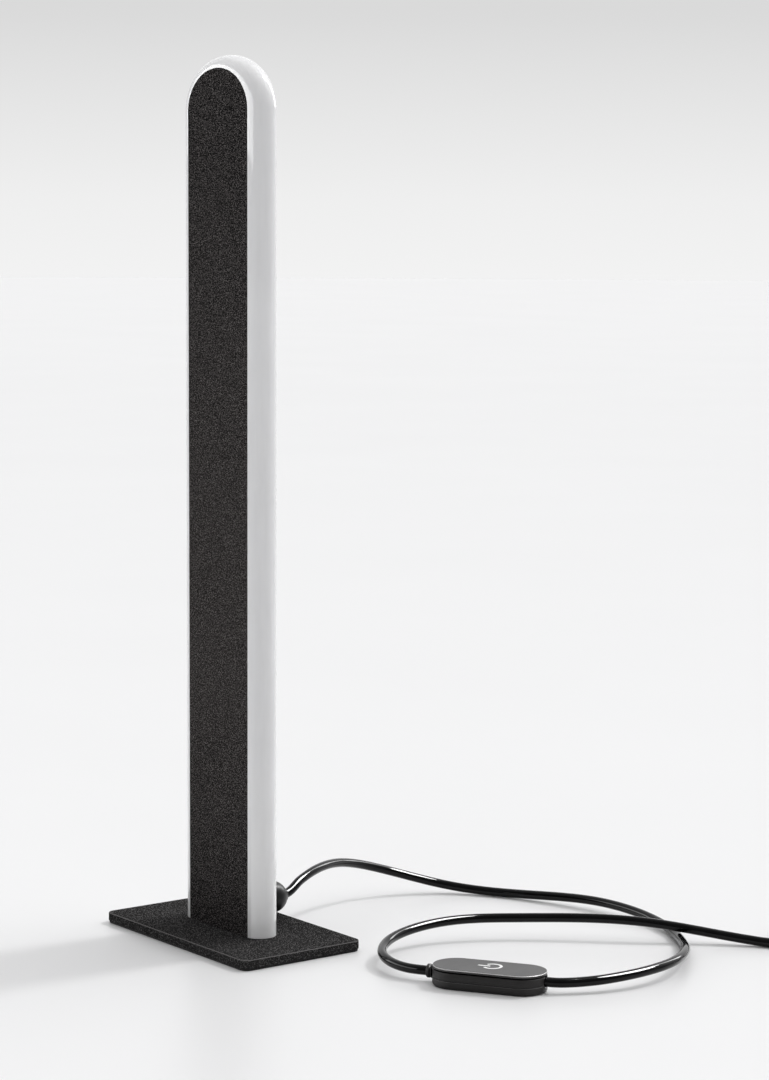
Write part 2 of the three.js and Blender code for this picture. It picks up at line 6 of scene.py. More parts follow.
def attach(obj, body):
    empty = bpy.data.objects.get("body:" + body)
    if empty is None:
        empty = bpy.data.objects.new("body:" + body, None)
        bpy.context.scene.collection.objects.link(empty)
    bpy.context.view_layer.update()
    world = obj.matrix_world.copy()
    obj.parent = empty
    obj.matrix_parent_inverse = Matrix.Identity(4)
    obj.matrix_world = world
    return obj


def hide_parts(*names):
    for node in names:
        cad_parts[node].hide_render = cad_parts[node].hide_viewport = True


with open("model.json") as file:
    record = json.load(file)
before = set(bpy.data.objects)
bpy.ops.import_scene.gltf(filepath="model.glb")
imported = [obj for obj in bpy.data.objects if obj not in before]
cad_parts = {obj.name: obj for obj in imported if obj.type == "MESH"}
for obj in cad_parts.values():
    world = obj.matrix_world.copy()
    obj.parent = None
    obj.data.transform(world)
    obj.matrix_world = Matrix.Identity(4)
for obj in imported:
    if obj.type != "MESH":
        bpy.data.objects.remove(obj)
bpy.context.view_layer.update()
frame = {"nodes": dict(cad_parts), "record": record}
MM = 0.001
scene = bpy.context.scene
scene.view_settings.view_transform = "Standard"
scene.view_settings.look = "None"

# light levels
FLOOR_NEAR, FLOOR_FAR = (0.835, 0.835, 0.838), (0.845, 0.845, 0.848)
WALL = [(0.905,) * 3, (0.862,) * 3, (0.80,) * 3, (0.745,) * 3, (0.70,) * 3]
ROOM = [(0.22,) * 3, (0.16,) * 3, (0.25,) * 3]
SUN_KEY, SUN_WIDE, SUN_DOME, STRIP, BOX_R, BOX_L, FILL = 0.85, 0.32, 1.16, 19.0, 22.0, 34.0, 0.42

# ------------------------------------------------------------------ camera
CAM = np.array([1.396845, -0.951703, 0.422864])
FWD = np.array([-0.791211, 0.600874, -0.113732])
FWD = FWD / np.linalg.norm(FWD)
ROLL = math.radians(0.273)
side = np.cross(FWD, [0, 0, 1]); side /= np.linalg.norm(side)
up0 = np.cross(side, FWD)
RIGHT = math.cos(ROLL) * side + math.sin(ROLL) * up0
UP = -math.sin(ROLL) * side + math.cos(ROLL) * up0
cam_data = bpy.data.cameras.new("camera")
cam_data.sensor_fit = "AUTO"
cam_data.sensor_width = 36.0
cam_data.lens = 100.0
cam_data.clip_start = 0.05
cam_data.clip_end = 60.0
cam = bpy.data.objects.new("camera", cam_data)
scene.collection.objects.link(cam)
cam.matrix_world = Matrix(((RIGHT[0], UP[0], -FWD[0], CAM[0]), (RIGHT[1], UP[1], -FWD[1], CAM[1]), (RIGHT[2], UP[2], -FWD[2], CAM[2]), (0, 0, 0, 1)))
scene.camera = cam

# --------------------------------------------------------------- dimensions
BASE_X, BASE_Y, BASE_R, Z_PLATE, Z_TOP = 143.4, 80.5, 5.0, 1.2, 6.2
HALF_W, HALF_T, APEX, ARCH_H = 29.35, 9.0, 493.4, 23.4
Z_ARCH = APEX - ARCH_H
PANEL_T, PANEL_IN = 1.5, 7.5
BULGE_SIDE, BULGE_TOP = 8.5, 7.3
GLAND_Z = 19.2
SW_POS, SW_ANGLE, SW_L, SW_W, SW_SEAM, SW_COVER_TOP, SW_TOP, SW_CORD_Z = (175.0, 48.7), math.radians(33.0), 64.0, 27.6, 4.4, 9.0, 11.2, 6.0
CORD_D = 5.4
COIL_C, COIL_Z0, COIL_Z1 = (213.7, 281.2), 1.0, 11.8
PLUG_X, PLUG_Y, PLUG_L, PLUG_W, PLUG_H, SLEEVE_L, PIN_R, PIN_L, PIN_SPACING = 273.7, 249.0, 36.0, 35.3, 13.7, 26.0, 2.0, 19.0, 18.6

ROUTE_A = [
    (0, 38.3, 19.6), (-2.85, 50.32, 25.2), (-7.62, 62.73, 28.02), (-13.37, 75.03, 28.63), (-19.24, 87.27, 27.66), (-24.39, 99.65, 25.41),
    (-27.92, 112.37, 22.16), (-28.88, 125.34, 18.22), (-26.99, 138.12, 14.02), (-22.26, 150.19, 9.97), (-15.07, 161.2, 6.55), (-5.92, 170.98, 4.22),
    (4.66, 179.43, 3.07), (16.17, 186.68, 2.84), (28.23, 192.98, 3.23), (40.61, 198.58, 3.97), (53.27, 203.49, 4.81), (66.23, 207.58, 5.52),
    (79.47, 210.69, 5.87), (92.92, 212.7, 5.74), (106.5, 213.46, 5.25), (120.07, 212.79, 4.57), (133.45, 210.48, 3.85), (146.39, 206.33, 3.27),
    (158.62, 200.4, 3.02), (170.18, 193.22, 3.35), (181.17, 185.28, 4.46), (191.54, 176.61, 5.99), (201.17, 167.09, 7.39), (209.8, 156.62, 8.22),
    (216.7, 144.92, 8.51), (220.87, 131.99, 8.43), (222.18, 118.47, 8.04), (221.07, 104.94, 7.39), (217.77, 91.77, 6.61), (212.32, 79.34, 6.02),
    (210.10, 74.81, 6), (207.58, 70.81, 6), (204.1, 67.59, 6), (202.09, 66.29, 6),
]
ROUTE_B = [
    (145.06, 29.26, 6), (142.2, 27.4, 6), (134.3, 23.95, 6), (122.62, 22.87, 6.46), (111.12, 25.86, 7.2), (101.01, 32.12, 7.95), (92.82, 40.76, 8.68),
    (86.81, 51.03, 9.46), (83.17, 62.37, 10.31), (81.84, 74.2, 11.14), (82.59, 86.1, 11.82), (85.21, 97.75, 12.23), (89.46, 108.91, 12.31),
    (95, 119.5, 12.21), (101.45, 129.56, 12.13), (108.5, 139.21, 12.19), (116.02, 148.51, 12.34), (123.89, 157.5, 12.44), (132.02, 166.27, 12.37),
    (140.3, 174.89, 12.03), (148.63, 183.42, 11.29), (156.95, 191.93, 10.06), (165.28, 200.35, 8.47), (173.76, 208.6, 6.74), (182.48, 216.6, 5.06),
    (191.54, 224.27, 3.66), (201.03, 231.48, 2.73), (209.03, 237.48, 2.98), (217.03, 243.48, 3.28),
]

# ------------------------------------------------------------------ helpers
def new_mesh(name, verts, faces, body="lamp", slot=None, replaces=(), angle=30.0, scale=MM, recalc=True):
    me = bpy.data.meshes.new(name)
    me.from_pydata([tuple(float(c) * scale for c in v) for v in verts], [], [list(f) for f in faces])
    me.update()
    if recalc:
        bm = bmesh.new(); bm.from_mesh(me)
        bmesh.ops.remove_doubles(bm, verts=bm.verts, dist=1e-7)
        bmesh.ops.recalc_face_normals(bm, faces=bm.faces)
        bm.to_mesh(me); bm.free()
    me.shade_smooth()
    me.set_sharp_from_angle(angle=math.radians(angle))
    ob = bpy.data.objects.new(name, me)
    scene.collection.objects.link(ob)
    if body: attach(ob, body)
    if replaces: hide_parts(*replaces)
    return ob

def bridge(rings, cap_start=True, cap_end=True, closed=False):
    """Faces through rings of equal length."""
    n = len(rings[0]); verts = [tuple(p) for r in rings for p in r]; faces = []
    m = len(rings)
    for i in range(m if closed else m - 1):
        a, b = i * n, ((i + 1) % m) * n
        for j in range(n):
            faces.append((a + j, a + (j + 1) % n, b + (j + 1) % n, b + j))
    if not closed:
        if cap_start: faces.append(tuple(range(n - 1, -1, -1)))
        if cap_end: faces.append(tuple(range((m - 1) * n, m * n)))
    return verts, faces

def lathe(name, profile, origin, axis="y", seg=64, closed=True, ribs=None, **kw):
    """profile: (radius, distance along the axis), in mm."""
    rings = []
    for k in range(seg):
        a = 2 * math.pi * k / seg; ring = []
        for r, t in profile:
            rr = r + (ribs(a, r, t) if ribs else 0.0)
            c, s = rr * math.cos(a), rr * math.sin(a)
            p = {"y": (c, t, s), "x": (t, c, s), "z": (c, s, t)}[axis]
            ring.append(tuple(p[i] + origin[i] for i in range(3)))
        rings.append(ring)
    n = len(profile); verts = [p for r in rings for p in r]; faces = []
    for i in range(seg):
        a, b = i * n, ((i + 1) % seg) * n
        for j in range(n if closed else n - 1):
            faces.append((a + j, a + (j + 1) % n, b + (j + 1) % n, b + j))
    return new_mesh(name, verts, faces, **kw)

def arc(cx, cz, r, a0, a1, n):
    return [(cx + r * math.cos(math.radians(a0 + (a1 - a0) * i / n)), cz + r * math.sin(math.radians(a0 + (a1 - a0) * i / n))) for i in range(n + 1)]

def edge_profile(z0, z1, r, n=4, r2=None):
    """(inset, z) from the bottom cap to the top cap with rounded edges and flat support rings."""
    r2 = r if r2 is None else r2
    out = [(r * 1.9, z0)]
    out += [(r - r * math.sin(math.radians(90 * i / n)), z0 + r - r * math.cos(math.radians(90 * i / n))) for i in range(n + 1)]
    out += [(r2 - r2 * math.cos(math.radians(90 * i / n)), z1 - r2 + r2 * math.sin(math.radians(90 * i / n))) for i in range(n + 1)]
    out += [(r2 * 1.9, z1)]
    return out

def rounded_outline(w, h, r, steps=12):
    def make(inset):
        W, H, R = w - 2 * inset, h - 2 * inset, max(r - inset, 0.05)
        pts = []
        for sx, sy, a0 in ((1, 1, 0), (-1, 1, 90), (-1, -1, 180), (1, -1, 270)):
            for i in range(steps + 1):
                a = math.radians(a0 + 90 * i / steps)
                pts.append((sx * (W / 2 - R) + R * math.cos(a), sy * (H / 2 - R) + R * math.sin(a)))
        return pts
    return make

def stack(name, outline, profile, place=lambda x, y, z: (x, y, z), **kw):
    rings = [[place(x, y, z) for x, y in outline(inset)] for inset, z in profile]
    v, f = bridge(rings)
    return new_mesh(name, v, f, **kw)

def cutter(a, b, r, seg=48, r1=None):
    A, B = Vector(a) * MM, Vector(b) * MM
    d = B - A
    bm = bmesh.new()
    bmesh.ops.create_cone(bm, cap_ends=True, segments=seg, radius1=r * MM, radius2=(r if r1 is None else r1) * MM, depth=d.length)
    q = Vector((0, 0, 1)).rotation_difference(d.normalized())
    bmesh.ops.transform(bm, matrix=Matrix.Translation((A + B) / 2) @ q.to_matrix().to_4x4(), verts=bm.verts)
    me = bpy.data.meshes.new("cutter"); bm.to_mesh(me); bm.free()
    ob = bpy.data.objects.new("cutter", me); scene.collection.objects.link(ob)
    return ob

def carve(ob, cutters, angle=30.0):
    for c in cutters:
        m = ob.modifiers.new("cut", "BOOLEAN"); m.operation = "DIFFERENCE"; m.solver = "EXACT"; m.object = c
    dg = bpy.context.evaluated_depsgraph_get()
    dg.update()
    me = bpy.data.meshes.new_from_object(ob.evaluated_get(dg))
    ob.modifiers.clear()
    ob.data = me
    for c in cutters:
        bpy.data.objects.remove(c)
    me.shade_smooth()
    me.set_sharp_from_angle(angle=math.radians(angle))
    return ob

def spline_handles(pts):
    """Bezier handles of a smooth curve through the points (chord-length tangents)."""
    P = [Vector(p) for p in pts]; out = []
    for i, p in enumerate(P):
        if i == 0: t = (P[1] - p).normalized()
        elif i == len(P) - 1: t = (p - P[-2]).normalized()
        else:
            a, b = (p - P[i - 1]), (P[i + 1] - p)
            t = (a / a.length * b.length + b / b.length * a.length).normalized()
        la = (p - P[i - 1]).length / 3 if i else (P[1] - p).length / 3
        lb = (P[i + 1] - p).length / 3 if i + 1 < len(P) else la
        out.append((p - t * la, p, p + t * lb))
    # the free ends point along the chord to their neighbour
    return out

def cord_curve(name, pts_mm, replaces, res=6):
    cu = bpy.data.curves.new(name, "CURVE"); cu.dimensions = "3D"
    sp = cu.splines.new("BEZIER"); sp.bezier_points.add(len(pts_mm) - 1)
    for bp, (l, p, r) in zip(sp.bezier_points, spline_handles([Vector(q) * MM for q in pts_mm])):
        bp.handle_left_type = bp.handle_right_type = "FREE"
        bp.co, bp.handle_left, bp.handle_right = p, l, r
        bp.radius = CORD_D / 2 * MM
    cu.resolution_u = res
    cu.bevel_depth = 1.0
    cu.bevel_resolution = 6
    cu.use_fill_caps = True
    cu.twist_mode = "MINIMUM"
    ob = bpy.data.objects.new(name, cu); scene.collection.objects.link(ob)
    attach(ob, "lamp"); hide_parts(*replaces)
    return ob

# ------------------------------------------------------------------- cords
ax = Vector((math.cos(SW_ANGLE), math.sin(SW_ANGLE), 0)); ay = Vector((-ax.y, ax.x, 0))
def sw(x, y, z):
    p = Vector((SW_POS[0], SW_POS[1], 0)) + ax * x + ay * y
    return (p.x, p.y, z)

# coil: two turns down in the lower layer, then out again in the upper one
T_ANGLE = math.radians(-53.2)
coil_pts = []
R_OUT, R_IN = 32.2, 26.8
Z_LOW, Z_UP = 3.7, 9.1
TURNS = 4.0 + (270.0 - 306.8 + 360.0) / 360.0
N_COIL = int(round(TURNS * 16))
for i in range(N_COIL + 1):
    u = i / N_COIL * TURNS
    if u <= 2.0:
        # outer turn, then a short change to the inner turn
        k = min(1.0, max(0.0, (u - 0.82) / 0.3)); k = k * k * (3 - 2 * k)
        r = R_OUT + (R_IN - R_OUT) * k
    else:
        k = min(1.0, max(0.0, (u - 3.0) / 0.3)); k = k * k * (3 - 2 * k)
        r = R_IN + (R_OUT - R_IN) * k
    kz = min(1.0, max(0.0, (u - 1.95) / 0.22)); kz = kz * kz * (3 - 2 * kz)
    z = Z_LOW + (Z_UP - Z_LOW) * kz
    a = T_ANGLE + 2 * math.pi * u
    coil_pts.append((COIL_C[0] + r * math.cos(a), COIL_C[1] + r * math.sin(a), z))
ROUTE_BC = ROUTE_B + [(225.03, 249.48, 3.55)] + coil_pts + [(222.5, 249.0, 9.05), (233.4, 249.0, 8.4), (239.0, 249.0, 7.5), (247.9, 249.0, 6.85), (254.0, 249.0, 6.85)]
ROUTE_AA = [(0, 36.2, 19.2)] + ROUTE_A + [sw(30.0, 0, 6.0)]
ROUTE_BB = [sw(-33.5, 0, 6.0)] + ROUTE_BC
cord_a = cord_curve("mains_cord_lamp_to_switch", ROUTE_AA, ["cord_lamp_to_switch"])
cord_b = cord_curve("mains_cord_switch_to_plug", ROUTE_BB, ["cord_switch_to_coil", "cord_coil", "cord_coil_to_plug"])

# --------------------------------------------------------------- materials
def mat_base(name, color, rough, metal=0.0, spec=0.5, coat=0.0, coat_rough=0.1):
    m = bpy.data.materials.new(name); m.use_nodes = True
    nt = m.node_tree; b = nt.nodes["Principled BSDF"]
    b.inputs["Base Color"].default_value = (*color, 1)
    b.inputs["Roughness"].default_value = rough
    b.inputs["Metallic"].default_value = metal
    b.inputs["Specular IOR Level"].default_value = spec
    b.inputs["Coat Weight"].default_value = coat
    b.inputs["Coat Roughness"].default_value = coat_rough
    return m, nt, b

def coords(nt, scale=(1, 1, 1)):
    tc = nt.nodes.new("ShaderNodeTexCoord"); mp = nt.nodes.new("ShaderNodeMapping")
    mp.inputs["Scale"].default_value = scale
    nt.links.new(tc.outputs["Object"], mp.inputs["Vector"])
    return mp.outputs["Vector"]

def noise(nt, vec, scale, detail=3, rough=0.5):
    n = nt.nodes.new("ShaderNodeTexNoise"); n.inputs["Scale"].default_value = scale
    n.inputs["Detail"].default_value = detail; n.inputs["Roughness"].default_value = rough
    nt.links.new(vec, n.inputs["Vector"])
    return n.outputs["Fac"]

def ramp(nt, fac, stops):
    r = nt.nodes.new("ShaderNodeValToRGB"); e = r.color_ramp.elements
    while len(e) < len(stops): e.new(0.5)
    for k, (p, c) in zip(e, stops):
        k.position = p; k.color = c if len(c) == 4 else (*c, 1)
    nt.links.new(fac, r.inputs["Fac"])
    return r.outputs["Color"]

def mix(nt, fac, a, b, blend="MIX"):
    m = nt.nodes.new("ShaderNodeMix"); m.data_type = "RGBA"; m.blend_type = blend
    if hasattr(fac, "is_linked") or hasattr(fac, "links"): nt.links.new(fac, m.inputs[0])
    else: m.inputs[0].default_value = fac
    for sock, v in ((m.inputs[6], a), (m.inputs[7], b)):
        if isinstance(v, tuple): sock.default_value = (*v, 1) if len(v) == 3 else v
        else: nt.links.new(v, sock)
    return m.outputs[2]

def remap(nt, fac, lo, hi, a=0.0, b=1.0):
    m = nt.nodes.new("ShaderNodeMapRange")
    m.inputs["From Min"].default_value = a; m.inputs["From Max"].default_value = b
    m.inputs["To Min"].default_value = lo; m.inputs["To Max"].default_value = hi
    nt.links.new(fac, m.inputs["Value"])
    return m.outputs["Result"]

def bump(nt, b, height, strength, distance, prev=None):
    n = nt.nodes.new("ShaderNodeBump"); n.inputs["Strength"].default_value = strength; n.inputs["Distance"].default_value = distance
    nt.links.new(height, n.inputs["Height"])
    if prev is not None: nt.links.new(prev, n.inputs["Normal"])
    nt.links.new(n.outputs["Normal"], b.inputs["Normal"])
    return n.outputs["Normal"]

def edge_wear_and_highlight(nt):
    # pointiness on convex edges: partly edge wear, partly a painted highlight
    g = nt.nodes.new("ShaderNodeNewGeometry")
    return remap(nt, g.outputs["Pointiness"], 0.0, 1.0, 0.508, 0.55)

def rim_highlight_mask(nt, lo=0.30, hi=0.88, side=False):
    """1 on faces that lean between upright and level: the rounded upper edges (with side, the bevels between a panel's
    face and its sides); a mask for painted highlights.
    """
    g = nt.nodes.new("ShaderNodeNewGeometry"); q = nt.nodes.new("ShaderNodeSeparateXYZ")
    nt.links.new(g.outputs["True Normal"], q.inputs[0])
    if side:
        m = nt.nodes.new("ShaderNodeMath"); m.operation = "ABSOLUTE"; nt.links.new(q.outputs["Y"], m.inputs[0])
        return ramp(nt, m.outputs[0], [(0.15, (0, 0, 0)), (0.3, (1, 1, 1)), (0.9, (1, 1, 1)), (0.985, (0, 0, 0))])
    return ramp(nt, q.outputs["Z"], [(lo - 0.1, (0, 0, 0)), (lo, (1, 1, 1)), (hi, (1, 1, 1)), (min(0.99, hi + 0.09), (0, 0, 0))])

def powder_coat(name, dark, light, rough=0.72, spec=0.10, edge_highlight=0.0, lumps=0.45, flat=False):
    m, nt, b = mat_base(name, dark, rough, spec=spec)
    v = coords(nt)
    if flat:
        # the spray was laid on in one direction on the flat plate
        m1 = nt.nodes.new("ShaderNodeMapping"); m1.inputs["Rotation"].default_value = (0, 0, math.radians(-52.8))
        m2 = nt.nodes.new("ShaderNodeMapping"); m2.inputs["Scale"].default_value = (1.0, 0.4, 1.0)
        nt.links.new(v, m1.inputs["Vector"]); nt.links.new(m1.outputs["Vector"], m2.inputs["Vector"]); v = m2.outputs["Vector"]
    grain = noise(nt, v, 1650.0, 1.0, 0.5)
    coarse = noise(nt, v, 380.0, 2, 0.6)
    fine = noise(nt, v, 3200.0, 2, 0.5)
    cloud = noise(nt, v, 14.0, 3, 0.5)
    speck = ramp(nt, grain, [(0.475, (0, 0, 0)), (0.535, (0.10, 0.10, 0.10)), (0.58, (0.50, 0.50, 0.50)), (0.635, (1, 1, 1))])
    base = mix(nt, speck, dark, light)
    base = mix(nt, ramp(nt, coarse, [(0.38, (0.0, 0.0, 0.0)), (0.64, (0.22, 0.22, 0.22))]), base, dark)
    base = mix(nt, ramp(nt, cloud, [(0.35, (0.0, 0.0, 0.0)), (0.7, (0.12, 0.12, 0.12))]), base, tuple(c * 0.4 for c in light))
    if not flat:
        # painted light: the panels are lightened toward a warm grey in a band at mid-height, fading in from 0.02 m to
        # 0.13 m and out from 0.22 m to 0.44 m
        sz = nt.nodes.new("ShaderNodeSeparateXYZ"); nt.links.new(v, sz.inputs[0])
        low = remap(nt, sz.outputs["Z"], 0.0, 0.06, 0.02, 0.13)
        high = remap(nt, sz.outputs["Z"], 1.0, 0.0, 0.22, 0.44)
        mm = nt.nodes.new("ShaderNodeMath"); mm.operation = "MULTIPLY"
        nt.links.new(low, mm.inputs[0]); nt.links.new(high, mm.inputs[1])
        base = mix(nt, mm.outputs[0], base, (0.26, 0.235, 0.22))
    # painted highlight: the rounded upper edges are lightened toward grey
    if edge_highlight:
        base = mix(nt, remap(nt, rim_highlight_mask(nt), 0.0, edge_highlight), base, (0.30, 0.29, 0.29))
    else:
        # painted highlight: the panel bevels between face and sides are lightened toward grey
        base = mix(nt, remap(nt, rim_highlight_mask(nt, side=True), 0.0, 0.25), base, (0.20, 0.19, 0.185))
    nt.links.new(base, b.inputs["Base Color"])
    nt.links.new(remap(nt, grain, rough - 0.14, rough + 0.1, 0.3, 0.7), b.inputs["Roughness"])
    n0 = bump(nt, b, coarse, lumps, 0.0010)
    n1 = bump(nt, b, grain, 0.8, 0.0007, n0)
    bump(nt, b, fine, 0.2, 0.00008, n1)
    return m

def moulded(name, dark, light, rough=0.45, scale=1500.0, depth=0.00006, strength=0.3, spec=0.5, coat=0.0, edge_highlight=0.0):
    m, nt, b = mat_base(name, dark, rough, spec=spec, coat=coat, coat_rough=0.15)
    v = coords(nt)
    g = noise(nt, v, scale, 3, 0.6); c = noise(nt, v, 40.0, 3, 0.5)
    base = mix(nt, ramp(nt, c, [(0.3, (0, 0, 0)), (0.72, (1, 1, 1))]), dark, light)
    # partly edge wear, partly painted highlight: convex edges are lightened toward a paler tone of the plastic
    w = edge_wear_and_highlight(nt)
    base = mix(nt, remap(nt, w, 0.0, 0.3), base, tuple(min(1, x * 2.2 + 0.01) for x in light))
    # painted highlight: the rounded upper edges are lightened toward pale grey
    if edge_highlight:
        base = mix(nt, remap(nt, rim_highlight_mask(nt, 0.22, 0.85), 0.0, edge_highlight), base, (0.75, 0.75, 0.75))
    nt.links.new(base, b.inputs["Base Color"])
    nt.links.new(remap(nt, c, rough - 0.06, rough + 0.08, 0.3, 0.7), b.inputs["Roughness"])
    bump(nt, b, g, strength, depth)
    return m

def metal(name, color, rough, brushed=(1, 1, 1), scale=300.0):
    m, nt, b = mat_base(name, color, rough, metal=1.0)
    v = coords(nt, brushed)
    n = noise(nt, v, scale, 4, 0.6)
    base = mix(nt, ramp(nt, n, [(0.3, (0, 0, 0)), (0.7, (1, 1, 1))]), tuple(c * 0.88 for c in color), color)
    nt.links.new(base, b.inputs["Base Color"])
    nt.links.new(remap(nt, n, rough - 0.06, rough + 0.12, 0.3, 0.7), b.inputs["Roughness"])
    bump(nt, b, n, 0.15, 0.00003)
    return m

# painted light on the panel coat: a lighter band at mid-height, and a painted highlight on the panel bevels
M_COAT = powder_coat("black_powder_coat", (0.0004, 0.0004, 0.0004), (0.205, 0.190, 0.187), spec=0.012, lumps=0.3)
# painted highlight on the base plate's rounded top edges
M_COAT_BASE = powder_coat("black_powder_coat_base", (0.018, 0.0176, 0.0176), (0.120, 0.117, 0.117), spec=0.0, edge_highlight=0.45, lumps=0.12, flat=True)
M_GLAND = moulded("black_nylon", (0.0035, 0.0035, 0.0036), (0.0085, 0.0085, 0.0088), 0.30, 900.0, spec=0.35)
M_SWITCH = moulded("switch_plastic", (0.006, 0.0052, 0.005), (0.0125, 0.011, 0.0108), 0.42, 1700.0, 0.00007, 0.35, spec=0.3)
# painted highlight on the rounded upper edges of the lower switch shell and the push plate
M_SWITCH_LOW = moulded("switch_lower_plastic", (0.006, 0.0052, 0.005), (0.0125, 0.011, 0.0108), 0.42, 1700.0, 0.00007, 0.35, spec=0.3, edge_highlight=0.10)
M_PLATE = moulded("switch_plate_plastic", (0.010, 0.0092, 0.0094), (0.022, 0.020, 0.0203), 0.34, 1700.0, 0.00007, 0.35, spec=0.5, edge_highlight=0.8)
M_PLUG = moulded("plug_vinyl", (0.010, 0.010, 0.0105), (0.02, 0.02, 0.021), 0.45, 1200.0)
M_RUBBER = moulded("soft_rubber", (0.008, 0.008, 0.008), (0.016, 0.016, 0.016), 0.8, 700.0, 0.0001, 0.4)
M_PAD = moulded("foam_rubber", (0.008, 0.008, 0.008), (0.02, 0.02, 0.02), 0.92, 1800.0, 0.00025, 0.6)
M_SHELL = moulded("driver_shell", (0.68, 0.68, 0.66), (0.78, 0.78, 0.76), 0.5, 900.0)
M_BOARD = moulded("circuit_board", (0.012, 0.075, 0.026), (0.02, 0.11, 0.04), 0.35, 500.0)
M_ALU = metal("aluminium", (0.80, 0.81, 0.82), 0.32, (1, 1, 0.05), 900.0)
M_STEEL = metal("zinc_steel", (0.62, 0.63, 0.64), 0.3, (1, 1, 1), 700.0)
M_BLACKSCREW = metal("black_oxide", (0.05, 0.05, 0.055), 0.35, (1, 1, 1), 900.0)
M_NICKEL = metal("nickel", (0.75, 0.73, 0.69), 0.18, (0.1, 1, 1), 800.0)
M_WIRES = {k: moulded("wire_" + k, c, tuple(min(1, x * 1.25) for x in c), 0.35, 300.0) for k, c in {"brown": (0.09, 0.035, 0.014), "blue": (0.02, 0.1, 0.34), "red": (0.4, 0.02, 0.012), "black": (0.01, 0.01, 0.01)}.items()}

def cord_material():
    m, nt, b = mat_base("black_vinyl_cord", (0.003, 0.003, 0.0032), 0.25, spec=0.02, coat=0.85, coat_rough=0.05)
    b.inputs["Coat IOR"].default_value = 1.31
    v = coords(nt)
    n = noise(nt, v, 120.0, 3, 0.5); f = noise(nt, v, 1400.0, 2, 0.5)
    base = mix(nt, ramp(nt, n, [(0.3, (0, 0, 0)), (0.7, (1, 1, 1))]), (0.0015, 0.0015, 0.0017), (0.004, 0.004, 0.0043))
    nt.links.new(base, b.inputs["Base Color"])
    nt.links.new(remap(nt, n, 0.12, 0.2, 0.3, 0.7), b.inputs["Roughness"])
    n1 = bump(nt, b, n, 0.08, 0.0002)
    bump(nt, b, f, 0.05, 0.00003, n1)
    return m
M_CORD = cord_material()

def diffuser_material():
    m, nt, b = mat_base("opal_acrylic", (0.76, 0.765, 0.775), 0.3, spec=0.08, coat=1.0, coat_rough=0.012)
    v = coords(nt, (1, 1, 0.06)); w = coords(nt)
    streak = noise(nt, v, 160.0, 3, 0.55); dust = noise(nt, w, 30.0, 4, 0.6)
    base = mix(nt, ramp(nt, streak, [(0.3, (0, 0, 0)), (0.7, (1, 1, 1))]), (0.825, 0.825, 0.842), (0.865, 0.865, 0.882))
    base = mix(nt, ramp(nt, dust, [(0.45, (0, 0, 0)), (0.8, (0.25, 0.25, 0.25))]), base, (0.89, 0.89, 0.902))
    sp = nt.nodes.new("ShaderNodeSeparateXYZ"); nt.links.new(w, sp.inputs[0])
    # painted light: the opal is whitened toward its foot, fading out by 0.12 m, and whitened at the crown of the arch
    # from 0.475 m up as a painted highlight
    foot_painted_light = remap(nt, sp.outputs["Z"], 1.0, 0.0, 0.006, 0.12)
    crown_painted_highlight = remap(nt, sp.outputs["Z"], 0.0, 0.9, 0.475, 0.500)
    base = mix(nt, foot_painted_light, base, (0.985, 0.985, 0.995))
    base = mix(nt, crown_painted_highlight, base, (0.95, 0.95, 0.96))
    nt.links.new(base, b.inputs["Base Color"])
    nt.links.new(remap(nt, streak, 0.22, 0.32, 0.3, 0.7), b.inputs["Roughness"])
    b.inputs["Subsurface Weight"].default_value = 0.25
    b.inputs["Subsurface Radius"].default_value = (0.006, 0.006, 0.0065)
    b.inputs["Subsurface Scale"].default_value = 1.0
    bump(nt, b, streak, 0.06, 0.0001)
    return m
M_DIFF = diffuser_material()

def strap_material():
    m, nt, b = mat_base("woven_strap", (0.012, 0.012, 0.013), 0.85, spec=0.3)
    v = coords(nt)
    wv = nt.nodes.new("ShaderNodeTexWave"); wv.inputs["Scale"].default_value = 380.0; wv.inputs["Distortion"].default_value = 2.0
    nt.links.new(v, wv.inputs["Vector"])
    n = noise(nt, v, 1500.0, 3, 0.6)
    base = mix(nt, wv.outputs["Fac"], (0.008, 0.008, 0.009), (0.026, 0.026, 0.028))
    nt.links.new(base, b.inputs["Base Color"])
    n1 = bump(nt, b, wv.outputs["Fac"], 0.5, 0.0003)
    bump(nt, b, n, 0.3, 0.0001, n1)
    b.inputs["Sheen Weight"].default_value = 0.3
    return m
M_STRAP = strap_material()

def print_material():
    m, nt, b = mat_base("white_print", (0.72, 0.72, 0.71), 0.5)
    v = coords(nt); n = noise(nt, v, 1800.0, 2, 0.5)
    base = mix(nt, ramp(nt, n, [(0.35, (0, 0, 0)), (0.6, (1, 1, 1))]), (0.86, 0.86, 0.85), (0.95, 0.95, 0.94))
    nt.links.new(base, b.inputs["Base Color"]); bump(nt, b, n, 0.1, 0.00002)
    return m
M_PRINT = print_material()

def led_material():
    m, nt, b = mat_base("led_strip_white", (0.75, 0.72, 0.6), 0.45)
    v = coords(nt); n = noise(nt, v, 400.0, 3, 0.5)
    base = mix(nt, ramp(nt, n, [(0.4, (0, 0, 0)), (0.6, (1, 1, 1))]), (0.78, 0.77, 0.72), (0.8, 0.68, 0.3))
    nt.links.new(base, b.inputs["Base Color"]); bump(nt, b, n, 0.2, 0.0001)
    return m
M_LED = led_material()

def paint(ob, m):
    if ob.type == "MESH" or ob.type == "CURVE":
        ob.data.materials.clear(); ob.data.materials.append(m)
    return ob

